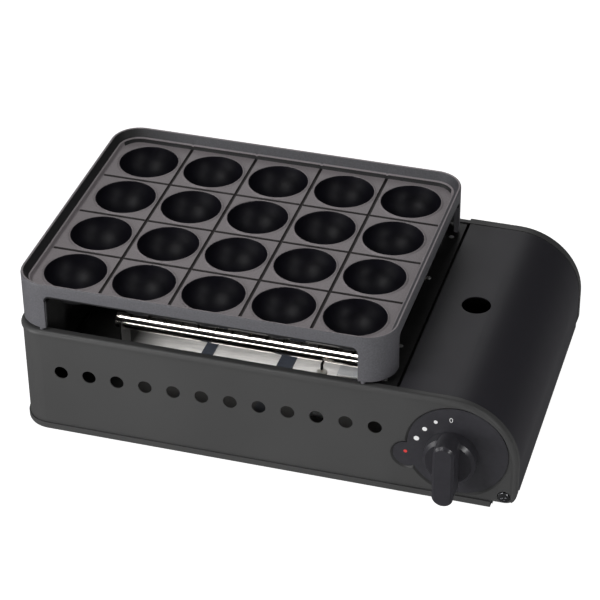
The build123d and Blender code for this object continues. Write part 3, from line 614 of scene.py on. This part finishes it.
def plate_mesh():
    """Closed casting without its windows: cooking face, rim, skirt, underside and leg pads."""
    casting = bmesh.new()
    cells = [(column, row) for column in range(COLUMNS) for row in range(ROWS)]
    for column, row in cells:
        deck_cell(casting, column, row)
    bmesh.ops.remove_doubles(casting, verts=casting.verts[:], dist=WELD)
    border = border_loop(casting)
    places = [(v.co.x, v.co.y) for v in border]
    sunk = [DECK_Z - v.co.z for v in border]
    loops = []
    for inset, height in RIM:
        share = max(0.0, 1 - height / GROOVE_FADE)
        ring = outline_loop(inset * MM, places)
        loops.append([(x, y, DECK_Z + height * MM - s * share) for (x, y), s in zip(ring, sunk)])
    foot = plate_low.z + LEG_PAD
    skirt = ((0, DECK_Z), (0, WEB_Z), (0, foot + LEG_EDGE), (LEG_EDGE, foot))
    skirt += ((SKIRT_WALL - LEG_EDGE, foot), (SKIRT_WALL, foot + LEG_EDGE), (SKIRT_WALL, WEB_Z))
    for inset, z in skirt:
        loops.append([(x, y, z) for x, y in outline_loop(inset, places)])
    skin_loops(casting, border, loops, rim_kind)
    for column, row in cells:
        under_cell(casting, column, row)
    bmesh.ops.remove_doubles(casting, verts=casting.verts[:], dist=WELD)
    bmesh.ops.recalc_face_normals(casting, faces=casting.faces[:])
    leg_pads(casting)
    bmesh.ops.translate(casting, verts=casting.verts[:], vec=(PLATE_MIDDLE.x, PLATE_MIDDLE.y, 0))
    return casting


def window_outline(half_width, low, high, grow, segments=8):
    """Front view of a window, open below, with rounded upper corners; grow lifts the upper edge."""
    points = [(-half_width, low), (half_width, low)]
    for side, start in ((1, 0), (-1, 90)):
        for k in range(segments + 1):
            turn = math.radians(start + 90 * k / segments)
            x = side * (half_width - WINDOW_CORNER) + WINDOW_CORNER * math.cos(turn)
            points.append((x, high - WINDOW_CORNER + WINDOW_CORNER * math.sin(turn)))
    return [(x, z + grow * (z - low) / (high - low)) for x, z in points]


def window_cutter(half_width, place):
    """Block that cuts one window out of the skirt, flared outwards along its upper edge."""
    low = plate_low.z - CUT_MARGIN
    steps = [(SKIRT_WALL + CUT_MARGIN, 0.0), (WINDOW_FLARE_DEPTH, 0.0)]
    for k in range(1, FLARE_STEPS + 1):
        turn = math.radians(90 * k / FLARE_STEPS)
        depth = WINDOW_FLARE_DEPTH * (1 - math.sin(turn))
        steps.append((depth, WINDOW_FLARE * (1 - math.cos(turn))))
    steps.append((-2 * CUT_MARGIN, WINDOW_FLARE))
    shape = bmesh.new()
    loops = []
    for depth, grow in steps:
        outline = window_outline(half_width, low, WEB_Z, grow)
        loops.append([shape.verts.new(place @ Vector((x, depth, z))) for x, z in outline])
    sides = 3  # the first faces of a loop are the upright sides and the open bottom
    for inner, outer in zip(loops, loops[1:]):
        for k in range(len(inner)):
            face = shape.faces.new([inner[k - 1], inner[k], outer[k], outer[k - 1]])
            # the window's upper edge and roof get the dark under coat as painted shade
            face.material_index = OUTSIDE_FACE if k < sides else SHADE_FACE
    shape.faces.new(loops[0])
    shape.faces.new(loops[-1][::-1])
    bmesh.ops.recalc_face_normals(shape, faces=shape.faces[:])
    return link_object("cutter", shape)


def cooking_plate():
    """Fine casting in place of the CAD plate, with its four skirt windows."""
    piece = link_object("plate_casting", plate_mesh())
    for name in CASTING:
        piece.data.materials.append(MATERIALS[name])
    middle = Matrix.Translation((PLATE_MIDDLE.x, PLATE_MIDDLE.y, 0))
    for quarter in range(4):
        half_width, reach = (HALF_X, HALF_Y) if quarter % 2 == 0 else (HALF_Y, HALF_X)
        turned = middle @ Matrix.Rotation(math.radians(90 * quarter), 4, "Z")
        cut(piece, window_cutter(half_width - LEG_WIDTH, turned @ Matrix.Translation((0, -reach, 0))))
    smooth(piece)
    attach(piece, "plate")
    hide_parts("cooking_plate")


# --- Marks and screws ----------------------------------------------------

DIAL_CENTRE = (131.1 * MM, 43.5 * MM)
# Marks about the dial's centre, in millimetres: X, Z and radius; the dots go from low to high
DIAL_DOTS = ((-14.8, 20.6, 1.3), (-21.9, 13.5, 1.6), (-27.2, 5.0, 1.8))
IGNITION_DOT = (-34.3, -7.1, 1.2)
DIAL_ZERO = (-4.7, 24.1)
ZERO_SIZE = (1.15 * MM, 1.75 * MM)
ZERO_STROKE = 0.4 * MM
INK = 0.06 * MM

HINGE_SCREW = (162.8 * MM, 13.3 * MM)
HINGE_SCREW_RADIUS = 3.6 * MM
# Screws that hold the frame's right strip, in millimetres: X and Y
FRAME_SCREWS = ((79.8, -81.4), (80.2, -43.3), (78.8, 38.5), (81.8, 92.2))
FRAME_SCREW_RADIUS = 1.9 * MM
# Screw head, as shares of its radius: radius and height of its dome, and its cross recess
SCREW_DOME = ((1.0, 0.0), (0.96, 0.04), (0.72, 0.08), (0.3, 0.1))
CROSS_REACH = 0.62
CROSS_HALF_WIDTH = 0.15
CROSS_BOTTOM = 0.01
CROSS_TOP = 0.6
CROSS_TURN = 20  # degrees

FORWARD = Matrix.Rotation(math.radians(90), 4, "X")
BACKWARD = Matrix.Rotation(math.radians(-90), 4, "X")


def base_piece(name, mesh, materials):
    """Piece on the base from a mesh under construction, with the given materials."""
    piece = link_object(name, mesh)
    for key in materials:
        piece.data.materials.append(MATERIALS[key])
    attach(piece, "base")
    smooth(piece)
    return piece


def printed_dot(mesh, centre, dot, material_index):
    """Flat disc of ink on the dial."""
    x, z, radius = dot
    disc = ((radius * MM, 0), (radius * MM - INK, INK))
    place = Matrix.Translation(centre + Vector((x, 0, z)) * MM)
    lathe(mesh, disc, place @ FORWARD, material_index)


def oval_ring(mesh, place, segments=36):
    """Raised stroke of a plain zero."""
    loops = []
    for inset, height in ((0, 0), (0, INK), (ZERO_STROKE, INK), (ZERO_STROKE, 0)):
        loop = []
        for k in range(segments):
            turn = 2 * math.pi * k / segments
            across = (ZERO_SIZE[0] - inset) * math.cos(turn)
            along = (ZERO_SIZE[1] - inset) * math.sin(turn)
            loop.append(mesh.verts.new(place @ Vector((across, along, height))))
        loops.append(loop)
    for outer, inner in zip(loops, loops[1:] + loops[:1]):
        for k in range(segments):
            mesh.faces.new([outer[k - 1], outer[k], inner[k], inner[k - 1]])


def dial_marks():
    """Printed dots, a plain zero and the red ignition mark."""
    face_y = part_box("dial_plate")[0].y
    centre = Vector((DIAL_CENTRE[0], face_y, DIAL_CENTRE[1]))
    ink = bmesh.new()
    for dot in DIAL_DOTS:
        printed_dot(ink, centre, dot, 0)
    zero = centre + Vector((DIAL_ZERO[0], 0, DIAL_ZERO[1])) * MM
    oval_ring(ink, Matrix.Translation(zero) @ FORWARD)
    printed_dot(ink, centre, IGNITION_DOT, 1)
    base_piece("dial_marks", ink, ("white_ink", "red_ink"))


def cross_prism(mesh, place, reach, half, low, high):
    """Upright bar in the shape of a cross."""
    corners = [(half, half), (half, reach), (-half, reach), (-half, half), (-reach, half), (-reach, -half)]
    corners += [(-x, -y) for x, y in corners]
    rings = [[mesh.verts.new(place @ Vector((x, y, z))) for x, y in corners] for z in (low, high)]
    mesh.faces.new(rings[0][::-1])
    mesh.faces.new(rings[1])
    for k in range(len(corners)):
        mesh.faces.new([rings[0][k - 1], rings[0][k], rings[1][k], rings[1][k - 1]])


def cross_heads(name, places, radius, slot):
    """Domed screw heads with a cross recess, at matrices whose Z axis points out of the surface."""
    dome = [(radius * share, radius * rise) for share, rise in SCREW_DOME]
    cross = [radius * share for share in (CROSS_REACH, CROSS_HALF_WIDTH, CROSS_BOTTOM, CROSS_TOP)]
    turn = Matrix.Rotation(math.radians(CROSS_TURN), 4, "Z")
    heads = bmesh.new()
    recesses = bmesh.new()
    for place in places:
        lathe(heads, dome, place)
        cross_prism(recesses, place @ turn, *cross)
    bmesh.ops.recalc_face_normals(heads, faces=heads.faces[:])
    bmesh.ops.recalc_face_normals(recesses, faces=recesses.faces[:])
    piece = base_piece(name, heads, (slot,))
    cut(piece, link_object("cutter", recesses))
    smooth(piece)


def screws():
    """Heads of the hinge screws in their dimples and of the screws in the frame's right strip."""
    low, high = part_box("hinge_pins")
    x, z = HINGE_SCREW
    front = Matrix.Translation((x, low.y, z)) @ FORWARD
    rear = Matrix.Translation((x, high.y, z)) @ BACKWARD
    cross_heads("hinge_screws", (front, rear), HINGE_SCREW_RADIUS, "pin_black")
    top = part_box("top_frame")[1].z
    places = [Matrix.Translation((x * MM, y * MM, top)) for x, y in FRAME_SCREWS]
    cross_heads("frame_screws", places, FRAME_SCREW_RADIUS, "screw_zinc")


# --- Studio --------------------------------------------------------------

# Camera of the main view, in front, a little to the right and above: angles in degrees, lens in pixels
CAMERA_PLACE = (378.0 * MM, -1243.5 * MM, 978.3 * MM)
CAMERA_AZIMUTH = 15.8395
CAMERA_ELEVATION = 34.5992
FOCAL_PIXELS = 2335.73
CENTRE_PIXEL = (337.64, 292.20)
IMAGE_SIZE = 600
SENSOR_WIDTH = 36.0

FLOOR_HALF = 6.0
FLOOR_GLOW = 0.95
# Walls: brightest towards BRIGHT_SIDE, and dim from where the cosine to that side is DIM_COSINE
BRIGHT_SIDE = (-0.45, 0.55, 0.7)
BRIGHT_WALL = 1.5
DIM_WALL = 0.05
DIM_COSINE = 0.05
# Added below the horizon: LOW_WALL in front, LOW_REAR_WALL from where the cosine to the rear is REAR_COSINE
LOW_WALL = 0.55
LOW_REAR_WALL = 3.0
REAR_COSINE = 0.8
HORIZON_BLEND = 0.08

# Softboxes round the cooker: name, place, size and watts
SOFTBOXES = (
    ("left", (-0.42, -0.6, 1.0), (0.4, 0.4), 4.5),
    ("right", (0.8, -0.09, 0.93), (0.4, 0.4), 1.8),
    ("front", (-0.95, -0.95, 0.22), (0.9, 0.6), 12),
    ("back", (-0.35, 1.3, 1.05), (1.2, 0.5), 3.5),
    ("glint", (0.95, -0.7, 0.52), (0.1, 0.1), 2),
)
# Small lights inside the burner bay: also what each shines at and its spread in degrees
BAY_LIGHTS = (
    ("bay", (-0.03, -0.003, 0.0895), (0.17, 0.008), 0.035, (-0.03, -0.0029, 0), 90),
    ("bar_top", (-0.025, -0.042, 0.0885), (0.2, 0.012), 0.01, (-0.025, -0.036, 0.065), 50),
    ("bar_front", (-0.025, -0.082, 0.066), (0.2, 0.005), 0.003, (-0.025, -0.036, 0.062), 50),
)


def camera():
    """Camera of the main view."""
    data = bpy.data.cameras.new("camera")
    data.sensor_width = SENSOR_WIDTH
    data.lens = SENSOR_WIDTH * FOCAL_PIXELS / IMAGE_SIZE
    data.shift_x = (IMAGE_SIZE / 2 - CENTRE_PIXEL[0]) / IMAGE_SIZE
    data.shift_y = (CENTRE_PIXEL[1] - IMAGE_SIZE / 2) / IMAGE_SIZE
    data.clip_start = 0.05
    data.clip_end = 20
    eye = bpy.data.objects.new("camera", data)
    eye.location = CAMERA_PLACE
    eye.rotation_euler = (math.radians(90 - CAMERA_ELEVATION), 0, math.radians(CAMERA_AZIMUTH))
    bpy.context.scene.collection.objects.link(eye)
    bpy.context.scene.camera = eye


def soft_light(name, place, size, power, aim=(0, 0, 0.06), spread=180):
    """Rectangular softbox aimed at the middle of the cooker or at another point; spread in degrees."""
    data = bpy.data.lights.new(name, "AREA")
    data.shape = "RECTANGLE"
    data.size = size[0]
    data.size_y = size[1]
    data.energy = power
    data.spread = math.radians(spread)
    lamp = bpy.data.objects.new(name, data)
    lamp.location = place
    lamp.rotation_euler = (Vector(aim) - Vector(place)).to_track_quat("-Z", "Y").to_euler()
    bpy.context.scene.collection.objects.link(lamp)


def floor():
    """Pale ground with a glow of its own, which glossy surfaces don't mirror."""
    data = bpy.data.meshes.new("floor")
    half = FLOOR_HALF
    corners = [(-half, -half, 0), (half, -half, 0), (half, half, 0), (-half, half, 0)]
    data.from_pydata(corners, [], [(0, 1, 2, 3)])
    ground = bpy.data.objects.new("floor", data)
    bpy.context.scene.collection.objects.link(ground)
    pale = Shader("pale_floor", (0.45, 0.45, 0.45), 0.9)
    pale.tint(pale.noise(3, detail=2), low=0.98, high=1.0)
    pale.bsdf.inputs["Emission Color"].default_value = (1, 1, 1, 1)
    pale.bsdf.inputs["Emission Strength"].default_value = FLOOR_GLOW
    data.materials.append(pale.material)
    ground.visible_glossy = False


def surroundings():
    """Pale walls: brighter to the left, the rear and above, and brighter again below the horizon."""
    world = bpy.data.worlds.new("studio")
    world.use_nodes = True
    nodes = world.node_tree.nodes
    links = world.node_tree.links
    direction = nodes.new("ShaderNodeTexCoord").outputs["Generated"]
    lean = nodes.new("ShaderNodeVectorMath")
    lean.operation = "DOT_PRODUCT"
    lean.inputs[1].default_value = Vector(BRIGHT_SIDE).normalized()
    wall = add_span(nodes, (DIM_COSINE, 1.0), (DIM_WALL, BRIGHT_WALL))
    links.new(direction, lean.inputs[0])
    links.new(lean.outputs["Value"], wall.inputs["Value"])
    parts = nodes.new("ShaderNodeSeparateXYZ")
    below = add_span(nodes, (-HORIZON_BLEND, 0.0), (1.0, 0.0))
    rear = add_span(nodes, (0.0, REAR_COSINE), (LOW_WALL, LOW_REAR_WALL))
    links.new(direction, parts.inputs["Vector"])
    links.new(parts.outputs["Z"], below.inputs["Value"])
    links.new(parts.outputs["Y"], rear.inputs["Value"])
    low = nodes.new("ShaderNodeMath")
    low.operation = "MULTIPLY"
    links.new(below.outputs["Result"], low.inputs[0])
    links.new(rear.outputs["Result"], low.inputs[1])
    total = nodes.new("ShaderNodeMath")
    total.operation = "ADD"
    links.new(wall.outputs["Result"], total.inputs[0])
    links.new(low.outputs["Value"], total.inputs[1])
    links.new(total.outputs["Value"], nodes["Background"].inputs["Strength"])
    bpy.context.scene.world = world


def studio():
    """Pale floor, pale surroundings, softboxes and the lights of the burner bay."""
    floor()
    surroundings()
    for light in SOFTBOXES + BAY_LIGHTS:
        soft_light(*light)
    bpy.context.scene.view_settings.view_transform = "Standard"


dress_cad()
cooking_plate()
dial_marks()
screws()
camera()
studio()
